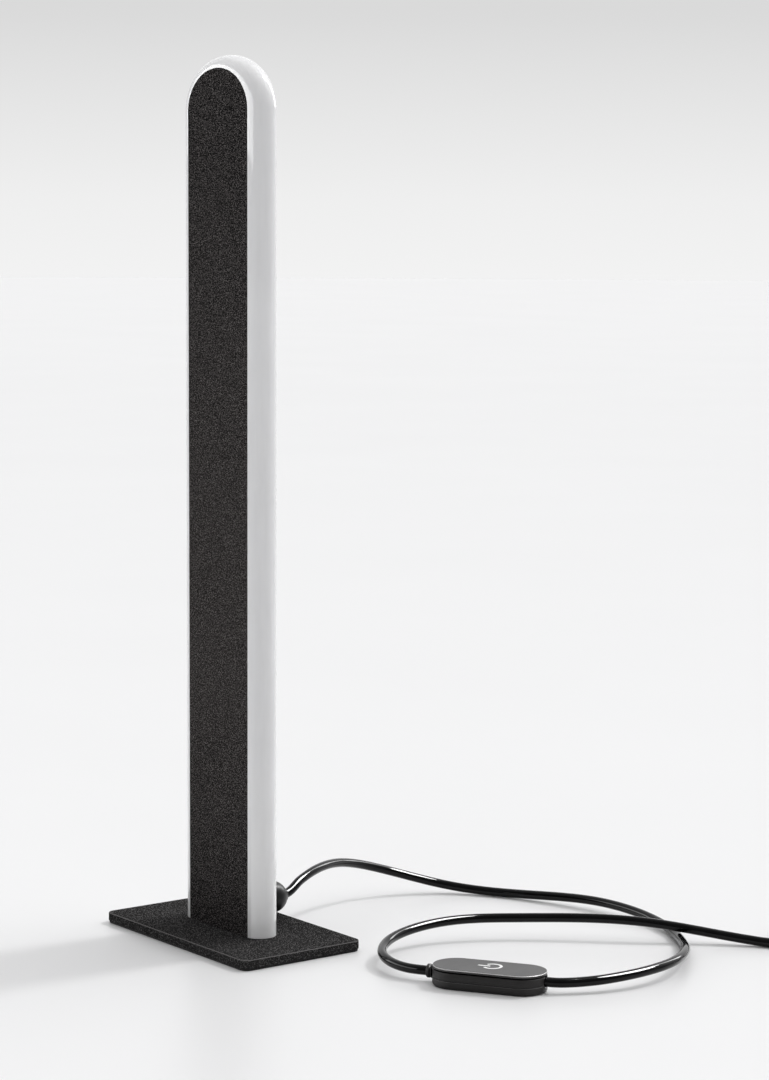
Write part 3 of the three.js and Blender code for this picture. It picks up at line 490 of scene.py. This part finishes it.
SLOT_MATERIAL = {"pad": M_PAD, "black_coat": M_COAT, "diffuser": M_DIFF, "aluminium": M_ALU, "steel": M_STEEL, "black_screw": M_BLACKSCREW, "led": M_LED,
    "driver_shell": M_SHELL, "board": M_BOARD, "wire_brown": M_WIRES["brown"], "wire_blue": M_WIRES["blue"], "wire_red": M_WIRES["red"], "wire_black": M_WIRES["black"],
    "gland_plastic": M_GLAND, "soft_rubber": M_RUBBER, "cord": M_CORD, "switch_plastic": M_SWITCH, "plug_plastic": M_PLUG, "tie": M_STRAP, "pin_metal": M_NICKEL}
node_slot = {s["node"]: s["material_slot"] for s in frame["record"]["subparts"]}
for name, ob in frame["nodes"].items():
    for i in range(max(1, len(ob.material_slots))):
        if len(ob.material_slots) == 0: ob.data.materials.append(SLOT_MATERIAL[node_slot[name]])
        else: ob.material_slots[i].material = SLOT_MATERIAL[node_slot[name]]
paint(cord_a, M_CORD); paint(cord_b, M_CORD)

# -------------------------------------------------------------------- base
base = stack("base_plate_shell", rounded_outline(BASE_X, BASE_Y, BASE_R, 14), edge_profile(Z_PLATE, Z_TOP, 0.55, 5), slot="black_coat", replaces=["base_plate"])
base = carve(base, [cutter((s * 19, 0, Z_PLATE - 1), (s * 19, 0, Z_PLATE + 2.6), 4.9) for s in (-1, 1)] + [cutter((s * 19, 0, Z_PLATE - 1), (s * 19, 0, Z_TOP - 0.4), 2.4) for s in (-1, 1)])
paint(base, M_COAT_BASE)

pad_prof = [(1.6, 0.0), (0.35, 0.0), (0.12, 0.05), (0.0, 0.2), (0.0, 0.45), (0.06, 0.62), (0.0, 0.8), (0.0, 1.05), (0.08, 1.15), (0.3, 1.18), (1.6, 1.18)]
pad = stack("base_foam_pad", rounded_outline(BASE_X - 1.0, BASE_Y - 1.0, BASE_R - 0.5, 14), pad_prof, slot="pad", replaces=["base_pad"])
paint(pad, M_PAD)

# ------------------------------------------------------------------ panels
def arch_stations(n_arch=72, z0=6.25, straight=(120, 240, 360)):
    out = [((HALF_W, z0), (1.0, 0.0), 0.0)] + [((HALF_W, z), (1.0, 0.0), 0.0) for z in straight]
    for i in range(n_arch + 1):
        t = math.pi * i / n_arch
        nx, nz = math.cos(t) / HALF_W, math.sin(t) / ARCH_H; l = math.hypot(nx, nz)
        out.append(((HALF_W * math.cos(t), Z_ARCH + ARCH_H * math.sin(t)), (nx / l, nz / l), math.sin(t)))
    out += [((-HALF_W, z), (-1.0, 0.0), 0.0) for z in reversed(straight)] + [((-HALF_W, z0), (-1.0, 0.0), 0.0)]
    return out

def arch_outline(inset):
    st = arch_stations()
    pts = []
    for i, ((x, z), (nx, nz), _) in enumerate(st):
        zz = z - inset * nz
        if i in (0, len(st) - 1): zz = 6.25 + inset * 0.0
        pts.append((x - inset * nx, zz))
    return pts

def panel(name, y_out, y_in, node):
    sgn = 1 if y_out > y_in else -1
    prof = [(0.0, y_in), (0.0, y_out - sgn * 0.3), (0.03, y_out - sgn * 0.17), (0.12, y_out - sgn * 0.06), (0.28, y_out), (0.7, y_out)]
    rings = [[(x, y, z) for x, z in arch_outline(i)] for i, y in prof]
    v, f = bridge(rings)
    return new_mesh(name, v, f, slot="black_coat", replaces=[node], angle=40)
front = paint(panel("front_panel_shell", -HALF_T, -PANEL_IN, "front_panel"), M_COAT)
rear = panel("rear_panel_shell", HALF_T, PANEL_IN, "rear_panel")
rear = carve(rear, [cutter((0, 6, GLAND_Z), (0, 10, GLAND_Z), 5.4)] + [cutter((0, 6, z), (0, 10, z), 1.9, 32) for z in (120, 285, 450)] + [cutter((0, HALF_T - 0.9, z), (0, 10, z), 3.3, 40) for z in (120, 285, 450)], 40)
paint(rear, M_COAT)

# ---------------------------------------------------------------- diffuser
def build_diffuser():
    N, M = 36, 12; lip = PANEL_IN - 0.2; hy = 6.0; g = 0.06
    sec = []
    for i in range(N + 1):
        t = math.pi * i / N
        sec.append((g + (BULGE_SIDE - g) * math.sin(t), -HALF_T * math.cos(t), 1))
    sec += [(g, lip, 0), (-2.1, lip, 0), (-2.1, hy, 0)]
    for i in range(M + 1):
        t = math.pi * i / M
        sec.append((1.2 + (BULGE_SIDE - 1.6 - 1.2) * math.sin(t), hy * math.cos(t) * (1 + 0.18 * math.sin(t)), 1))
    sec += [(-2.1, -hy, 0), (-2.1, -lip, 0), (g, -lip, 0)]
    rings = []
    st = arch_stations(72)
    z0 = 6.25
    st = [((HALF_W, z0), (1.0, 0.0), -1.0), ((HALF_W, z0 + 0.25), (1.0, 0.0), 0.0)] + st[1:-1] + [((-HALF_W, z0 + 0.25), (-1.0, 0.0), 0.0), ((-HALF_W, z0), (-1.0, 0.0), -1.0)]
    for (x, z), (nx, nz), top in st:
        f = 1 + (BULGE_TOP / BULGE_SIDE - 1) * max(top, 0.0) ** 1.5
        ring = []
        for d, y, bulgy in sec:
            k = d * f if d > 0 else d
            if top < 0 and d > 0.5: k -= 0.18
            ring.append((x + k * nx, y * (0.985 if (top < 0 and d > 0.5) else 1.0), z + k * nz))
        rings.append(ring)
    v, f = bridge(rings)
    return new_mesh("diffuser_shell", v, f, slot="diffuser", replaces=["diffuser"], angle=35)
paint(build_diffuser(), M_DIFF)

# ------------------------------------------------------------------- gland
y0 = HALF_T + 0.1
def ribs(a, r, t):
    if r > 9.0 and 13.6 < t < 24.2:
        k = (math.cos(a * 18) + 1) / 2
        return -0.55 * (1 - k) ** 2
    return 0.0
gb = [(3.05, 4.0), (5.1, 4.0), (5.1, y0), (9.0, y0)] + [(9.6 - 0.4 + 0.4 * math.cos(a), y0 + 0.4 + 0.4 * math.sin(a)) for a in (-1.2, -0.6, 0)] + [(9.6, y0 + 2.4), (9.5, y0 + 2.75), (9.2, y0 + 3.05), (8.9, y0 + 3.2), (6.6, y0 + 3.2), (6.6, 20.0), (3.05, 20.0)]
paint(lathe("gland_base_ring", gb, (0, 0, GLAND_Z), seg=72, slot="gland_plastic", replaces=["gland_body"]), M_GLAND)
gn = [(6.95, y0 + 3.6), (8.7, y0 + 3.6), (9.1, y0 + 3.75), (9.3, y0 + 4.1), (9.3, 14.2), (9.3, 17.0), (9.3, 20.5), (9.3, 23.6), (9.2, 24.3), (9.3, 24.9), (9.3, 27.0)]
for i in range(1, 15):
    t = math.pi / 2 * i / 15; r = 9.3 * math.cos(t)
    if r > 4.1: gn.append((r, 27.9 + 9.5 * math.sin(t)))
gn += [(4.0, 37.15), (3.75, 37.5), (3.5, 37.6), (3.3, 37.5), (3.2, 37.1), (3.2, 34.6), (4.9, 33.6), (5.95, 27.1), (5.95, 20.2), (6.95, 20.2)]
paint(lathe("gland_dome_nut", gn, (0, 0, GLAND_Z), seg=144, ribs=ribs, slot="gland_plastic", replaces=["gland_nut"]), M_GLAND)

# ------------------------------------------------------------------ switch
def sw_place(x, y, z): return sw(x, y, z)
def stadium(w_inset=0.0):
    return rounded_outline(SW_L - 2 * w_inset, SW_W - 2 * w_inset, SW_W / 2 - w_inset - 0.001, 24)
lower = stack("switch_lower_shell", stadium(0.0), [(2.6, 0.02), (1.3, 0.05), (0.75, 0.25), (0.35, 0.62), (0.1, 1.1), (0.0, 1.7), (0.0, SW_SEAM - 0.25), (0.08, SW_SEAM - 0.07), (0.25, SW_SEAM), (0.9, SW_SEAM)], place=sw_place, slot="switch_plastic", replaces=["switch_base"])
upper = stack("switch_upper_shell", stadium(0.1), [(0.9, SW_SEAM + 0.12), (0.2, SW_SEAM + 0.12), (0.05, SW_SEAM + 0.2), (0.0, SW_SEAM + 0.36), (0.0, SW_COVER_TOP - 0.3), (0.08, SW_COVER_TOP - 0.09), (0.3, SW_COVER_TOP), (1.0, SW_COVER_TOP)], place=sw_place, slot="switch_plastic", replaces=["switch_cover"])
def chan(): return [cutter(sw(-40, 0, 6.0), sw(-19, 0, 6.0), 2.95, 40), cutter(sw(19, 0, 6.0), sw(40, 0, 6.0), 2.95, 40), cutter(sw(31.0, 0, 6.0), sw(33.0, 0, 6.0), 2.95, 40, r1=4.1)]
lower = carve(lower, chan() + [cutter(sw(x, y, -1), sw(x, y, 1.5), 2.5, 32) for x, y in ((-26.3, -6.6), (26.3, 6.6))])
def slot_box(x, y, z0, z1):
    me = bpy.data.meshes.new("cutter"); bm = bmesh.new(); bmesh.ops.create_cube(bm, size=1.0)
    bmesh.ops.scale(bm, vec=(2 * x * MM, 2 * y * MM, (z1 - z0) * MM), verts=bm.verts)
    bmesh.ops.rotate(bm, matrix=Matrix.Rotation(SW_ANGLE, 3, "Z"), verts=bm.verts)
    bmesh.ops.translate(bm, vec=Vector(sw(0, 0, (z0 + z1) / 2)) * MM, verts=bm.verts)
    bm.to_mesh(me); bm.free()
    ob = bpy.data.objects.new("cutter", me); scene.collection.objects.link(ob); return ob
upper = carve(upper, chan() + [slot_box(17.5, 7.5, 3.0, 12.0)])
lower = carve(lower, [slot_box(20.5, 10.0, 1.7, 9.0)])
paint(lower, M_SWITCH_LOW); paint(upper, M_SWITCH)
zc = SW_COVER_TOP + 0.75
plate = stack("switch_push_plate", stadium(0.25), [(0.9, zc), (0.2, zc), (0.0, zc + 0.15), (0.0, SW_TOP - 0.45), (0.06, SW_TOP - 0.22), (0.22, SW_TOP - 0.07), (0.5, SW_TOP), (1.2, SW_TOP - 0.02), (3.0, SW_TOP - 0.03)], place=sw_place, body="switch_button", slot="switch_plastic", replaces=["switch_button"])
stem = stack("switch_plate_stem", rounded_outline(34, 14, 3.6, 6), [(1.0, 6.9), (0.2, 6.9), (0.0, 7.2), (0.0, zc - 0.02), (1.0, zc - 0.01)], place=sw_place, body="switch_button", slot="switch_plastic")
paint(plate, M_PLATE); paint(stem, M_SWITCH)
# generic standby mark, printed on the plate
def mark():
    verts, faces = [], []
    c = (1.0, 1.9); r0, r1, z0, z1 = 4.0, 5.5, SW_TOP - 0.05, SW_TOP + 0.012
    n = 56; a0, a1 = math.radians(-142), math.radians(142)
    rings = []
    for i in range(n + 1):
        a = a0 + (a1 - a0) * i / n
        rings.append([sw(c[0] + r * math.cos(a), c[1] + r * math.sin(a), z) for r, z in ((r0, z0), (r1, z0), (r1, z1), (r0, z1))])
    v, f = bridge(rings); verts += v; faces += f
    k = len(verts)
    rings = [[sw(x, c[1] + y, z) for y, z in ((-0.75, z0), (0.75, z0), (0.75, z1), (-0.75, z1))] for x in (-7.2, -0.3)]
    v, f = bridge(rings); verts += v; faces += [tuple(i + k for i in q) for q in f]
    return new_mesh("switch_power_mark", verts, faces, body="switch_button", slot="driver_shell", angle=20)
paint(mark(), M_PRINT)
cl = [(3.0, 0.0), (3.9, 0.0), (3.95, 0.25), (3.45, 0.75), (3.3, 1.0), (3.55, 1.25), (3.8, 1.5), (3.8, 2.6), (3.7, 2.95), (3.4, 3.18), (3.0, 3.2)]
collar = lathe("switch_collar_ring", cl, (0, 0, 0), axis="x", seg=56, body=None)
collar.data.transform(Matrix.Translation(Vector(sw(-32.2, 0, 6.0)) * MM) @ Matrix.Rotation(SW_ANGLE + math.pi, 4, "Z"))
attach(collar, "lamp"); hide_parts("switch_collar"); paint(collar, M_SWITCH)

# --------------------------------------------------------------- coil's tie
def tie():
    a0 = math.radians(100); mid = 29.5; w, h = 12.1 / 2, 11.4 / 2; r = 2.6; t = 0.6
    rings = []
    def sect(grow):
        W, H, R = w + grow, h + grow, r + grow; pts = []
        for sx, sz, s0 in ((1, 1, 0), (-1, 1, 90), (-1, -1, 180), (1, -1, 270)):
            for i in range(9):
                a = math.radians(s0 + 90 * i / 8)
                pts.append((sx * (W - R) + R * math.cos(a), sz * (H - R) + R * math.sin(a)))
        return pts
    inner, outer = sect(0.0), sect(t)
    e = 0.15
    loops = [(inner, -4.0), (sect(e), -4.0 - 0.0), (sect(t - e), -4.0), (outer, -4.0 + e), (outer, 4.0 - e), (sect(t - e), 4.0), (sect(e), 4.0), (inner, 4.0 - e)]
    cz = (COIL_Z0 + COIL_Z1) / 2
    for pts, s in loops:
        ring = []
        for x, z in pts:
            rad = mid - 0.1 + x
            ring.append((COIL_C[0] + rad * math.cos(a0) - s * math.sin(a0), COIL_C[1] + rad * math.sin(a0) + s * math.cos(a0), cz + z))
        rings.append(ring)
    v, f = bridge(rings, closed=True)
    return new_mesh("coil_strap", v, f, slot="tie", replaces=["coil_tie"], angle=40)
paint(tie(), M_STRAP)

# -------------------------------------------------------------------- plug
def plug():
    hw, L = PLUG_W / 2, PLUG_L
    ctrl = [(0, -6.5), (6, -9.2), (13, -hw + 1.7), (19, -hw + 0.05), (L - 2.2, -hw + 0.7), (L, -hw + 3), (L, hw - 3), (L - 2.2, hw - 0.7), (19, hw - 0.05), (13, hw - 1.7), (6, 9.2), (0, 6.5)]
    # round the corners with a closed quadratic subdivision
    pts = ctrl
    for _ in range(3):
        q = []
        for i in range(len(pts)):
            a, b = pts[i], pts[(i + 1) % len(pts)]
            q += [(a[0] * .75 + b[0] * .25, a[1] * .75 + b[1] * .25), (a[0] * .25 + b[0] * .75, a[1] * .25 + b[1] * .75)]
        pts = q
    P = np.array(pts); P[:, 0] = (P[:, 0] - P[:, 0].min()) * L / (P[:, 0].max() - P[:, 0].min()); P[:, 1] *= hw / np.abs(P[:, 1]).max()
    d = np.roll(P, -1, 0) - np.roll(P, 1, 0); nrm = np.stack([d[:, 1], -d[:, 0]], 1); nrm /= np.linalg.norm(nrm, axis=1)[:, None]
    prof = edge_profile(0.0, PLUG_H, 1.8, 6)
    rings = [[(PLUG_X + p[0] - n[0] * i, PLUG_Y + p[1] - n[1] * i, z) for p, n in zip(P, nrm)] for i, z in prof]
    v, f = bridge(rings)
    ob = new_mesh("plug_moulding", v, f, slot="plug_plastic", replaces=["plug_body"], angle=45)
    z = PLUG_H / 2
    ob = carve(ob, [cutter((PLUG_X + L - 7, PLUG_Y + k * PIN_SPACING / 2, z), (PLUG_X + L + 5, PLUG_Y + k * PIN_SPACING / 2, z), 2.2, 40) for k in (-1, 1)] + [cutter((PLUG_X - 3, PLUG_Y, z), (PLUG_X + 4, PLUG_Y, z), 4.5, 40)], 45)
    return ob
paint(plug(), M_PLUG)
sl = [(2.9, 0.2), (3.6, 0.2), (3.85, 0.35), (3.95, 0.7), (3.95, 3.6)]
for x in (4.0, 8.0, 12.0, 16.0, 20.0):
    r = 3.95 + 0.012 * x
    sl += [(r, x), (r - 0.6, x + 0.25), (r - 0.6, x + 1.25), (r, x + 1.5), (r + 0.03, x + 3.2)]
sl += [(4.2, 24.0), (4.25, SLEEVE_L + 3.5), (2.9, SLEEVE_L + 3.5)]
sleeve = lathe("plug_strain_relief", sl, (PLUG_X - SLEEVE_L, PLUG_Y, PLUG_H / 2), axis="x", seg=56, slot="plug_plastic", replaces=["plug_sleeve"])
paint(sleeve, M_PLUG)
pins = []
for i, k in enumerate((-1, 1)):
    o = (PLUG_X + PLUG_L, PLUG_Y + k * PIN_SPACING / 2, PLUG_H / 2)
    pr = [(0.0, -6.4), (1.9, -6.4), (1.9, -6.0), (1.9, 10.0), (1.96, 10.05), (1.96, 17.0), (1.9, 17.6), (1.65, 18.3), (1.2, 18.8), (0.6, 18.97), (0.0, 19.0)]
    p = lathe("plug_contact_pin_%d" % (i + 1), pr, o, axis="x", seg=40, closed=False, slot="pin_metal", replaces=["plug_pin_%d" % (i + 1)])
    paint(p, M_NICKEL)
    q = lathe("plug_pin_cover_%d" % (i + 1), [(1.9, -5.5), (2.0, -5.3), (2.0, 9.6), (1.97, 9.9), (1.9, 10.0)], o, axis="x", seg=40, slot="plug_plastic")
    paint(q, M_PLUG)
    pins += [p, q]

# ---------------------------------------------------------- CAD nodes
n = frame["nodes"]

# ------------------------------------------------------- stage and lighting
def stage_material(name, near, far):
    m, nt, b = mat_base(name, near, 0.36, spec=0.32)
    v = coords(nt); k = noise(nt, v, 3.0, 3, 0.5); f = noise(nt, v, 900.0, 2, 0.5)
    ln = nt.nodes.new("ShaderNodeVectorMath"); ln.operation = "LENGTH"; nt.links.new(v, ln.inputs[0])
    base = mix(nt, remap(nt, ln.outputs["Value"], 0.0, 1.0, 1.0, 9.0), near, far)
    base = mix(nt, ramp(nt, k, [(0.3, (0, 0, 0)), (0.7, (0.4, 0.4, 0.4))]), base, tuple(c * 0.97 for c in near))
    nt.links.new(base, b.inputs["Base Color"]); bump(nt, b, f, 0.02, 0.00002)
    return m
bm = bmesh.new()
bmesh.ops.create_circle(bm, cap_ends=True, cap_tris=False, segments=96, radius=14.0)
fm = bpy.data.meshes.new("floor"); bm.to_mesh(fm); bm.free()
floor = bpy.data.objects.new("floor", fm); scene.collection.objects.link(floor); floor.location = (0.1, 0.1, 0.0)
floor.data.materials.append(stage_material("pale_floor", FLOOR_NEAR, FLOOR_FAR))

# backdrop: a pale wall on one side of the studio, a darker room on the other
world = bpy.data.worlds.new("studio"); scene.world = world; world.use_nodes = True
wt = world.node_tree; bgn = wt.nodes["Background"]
tc = wt.nodes.new("ShaderNodeTexCoord"); sep = wt.nodes.new("ShaderNodeSeparateXYZ")
wt.links.new(tc.outputs["Generated"], sep.inputs["Vector"])
wall = ramp(wt, remap(wt, sep.outputs["Z"], 0.0, 1.0, -0.04, 0.96), [(0.0, WALL[0]), (0.04, WALL[1]), (0.065, WALL[2]), (0.085, WALL[3]), (0.10, WALL[4]), (0.15, (0.72, 0.72, 0.722)), (0.30, (0.98, 0.98, 0.985)), (0.7, (0.80, 0.80, 0.81))])
room = ramp(wt, remap(wt, sep.outputs["Z"], 0.0, 1.0, -0.04, 0.96), [(0.0, ROOM[0]), (0.3, ROOM[1]), (1.0, ROOM[2])])
dt = wt.nodes.new("ShaderNodeVectorMath"); dt.operation = "DOT_PRODUCT"
wt.links.new(tc.outputs["Generated"], dt.inputs[0]); dt.inputs[1].default_value = (-0.796, 0.605, 0.0)
sky = mix(wt, remap(wt, dt.outputs["Value"], 0.0, 1.0, -0.35, 0.55), room, wall)
wt.links.new(sky, bgn.inputs["Color"]); bgn.inputs["Strength"].default_value = 1.0

def area(name, loc, target, size, energy, color=(1, 1, 1), size_y=None):
    l = bpy.data.lights.new(name, "AREA"); l.energy = energy; l.color = color
    l.shape = "RECTANGLE"; l.size = size; l.size_y = size_y or size
    o = bpy.data.objects.new(name, l); scene.collection.objects.link(o)
    o.location = loc
    o.rotation_euler = (Vector(target) - Vector(loc)).to_track_quat("-Z", "Y").to_euler()
    return o
def sun(name, direction, strength, angle, color=(1, 1, 1)):
    l = bpy.data.lights.new(name, "SUN"); l.energy = strength; l.angle = math.radians(angle); l.color = color
    o = bpy.data.objects.new(name, l); scene.collection.objects.link(o)
    o.location = (0, 0, 2.5)
    o.rotation_euler = (-Vector(direction)).to_track_quat("-Z", "Y").to_euler()
    return o
RH = Vector((0.605, 0.796, 0)); FH = Vector((-0.796, 0.605, 0)); UPV = Vector((0, 0, 1))
sun("key_soft", (0.058, 0.907, 1.0), SUN_KEY, 8.5)
sun("key_wide", (0.058, 0.907, 1.0), SUN_WIDE, 50.0)
dome = sun("overhead_dome", UPV + RH * 0.1, SUN_DOME, 110.0)
dome.visible_glossy = False
# reflections only: an overhead light for the thin highlight on cord and switch
strip = sun("overhead_strip", UPV * 0.8 + RH * 0.5 + FH * 0.05, STRIP, 34.0)
strip.visible_diffuse = False
lit = bpy.data.collections.new("strip_receivers")
for o in (cord_a, cord_b, lower, upper, plate, collar):
    lit.objects.link(o)
strip.light_linking.receiver_collection = lit
# a wide white card beside the camera that only lifts the opal diffuser
fill = sun("diffuser_card", RH * 0.55 - FH * 0.75 + UPV * 0.25, FILL, 120.0)
fill2 = sun("diffuser_card_left", -RH * 0.9 - FH * 0.2 + UPV * 0.1, FILL * 1.0, 60.0)
opal = bpy.data.collections.new("card_receivers"); opal.objects.link(bpy.data.objects["diffuser_shell"])
for o in (fill, fill2):
    o.visible_glossy = False; o.light_linking.receiver_collection = opal
# two reflection boxes seen in the gloss of the diffuser: a tall one behind to the right, a low wide one to the left
c0 = Vector((0.0, 0.0, 0.48))
def polar(az, dist, z):
    a = math.radians(az)
    return Vector((c0.x, c0.y, 0)) + (FH * math.cos(a) + RH * math.sin(a)) * dist + UPV * z
box_r = area("box_right", polar(47, 2.2, 1.52), Vector((0, 0, 1.52)), 0.42, BOX_R, size_y=1.75)
box_l = area("box_left", polar(-97, 2.0, 0.93), Vector((0, 0, 0.93)), 3.0, BOX_L, size_y=0.9)
for o in (box_r, box_l): o.visible_diffuse = False

bpy.context.view_layer.update()
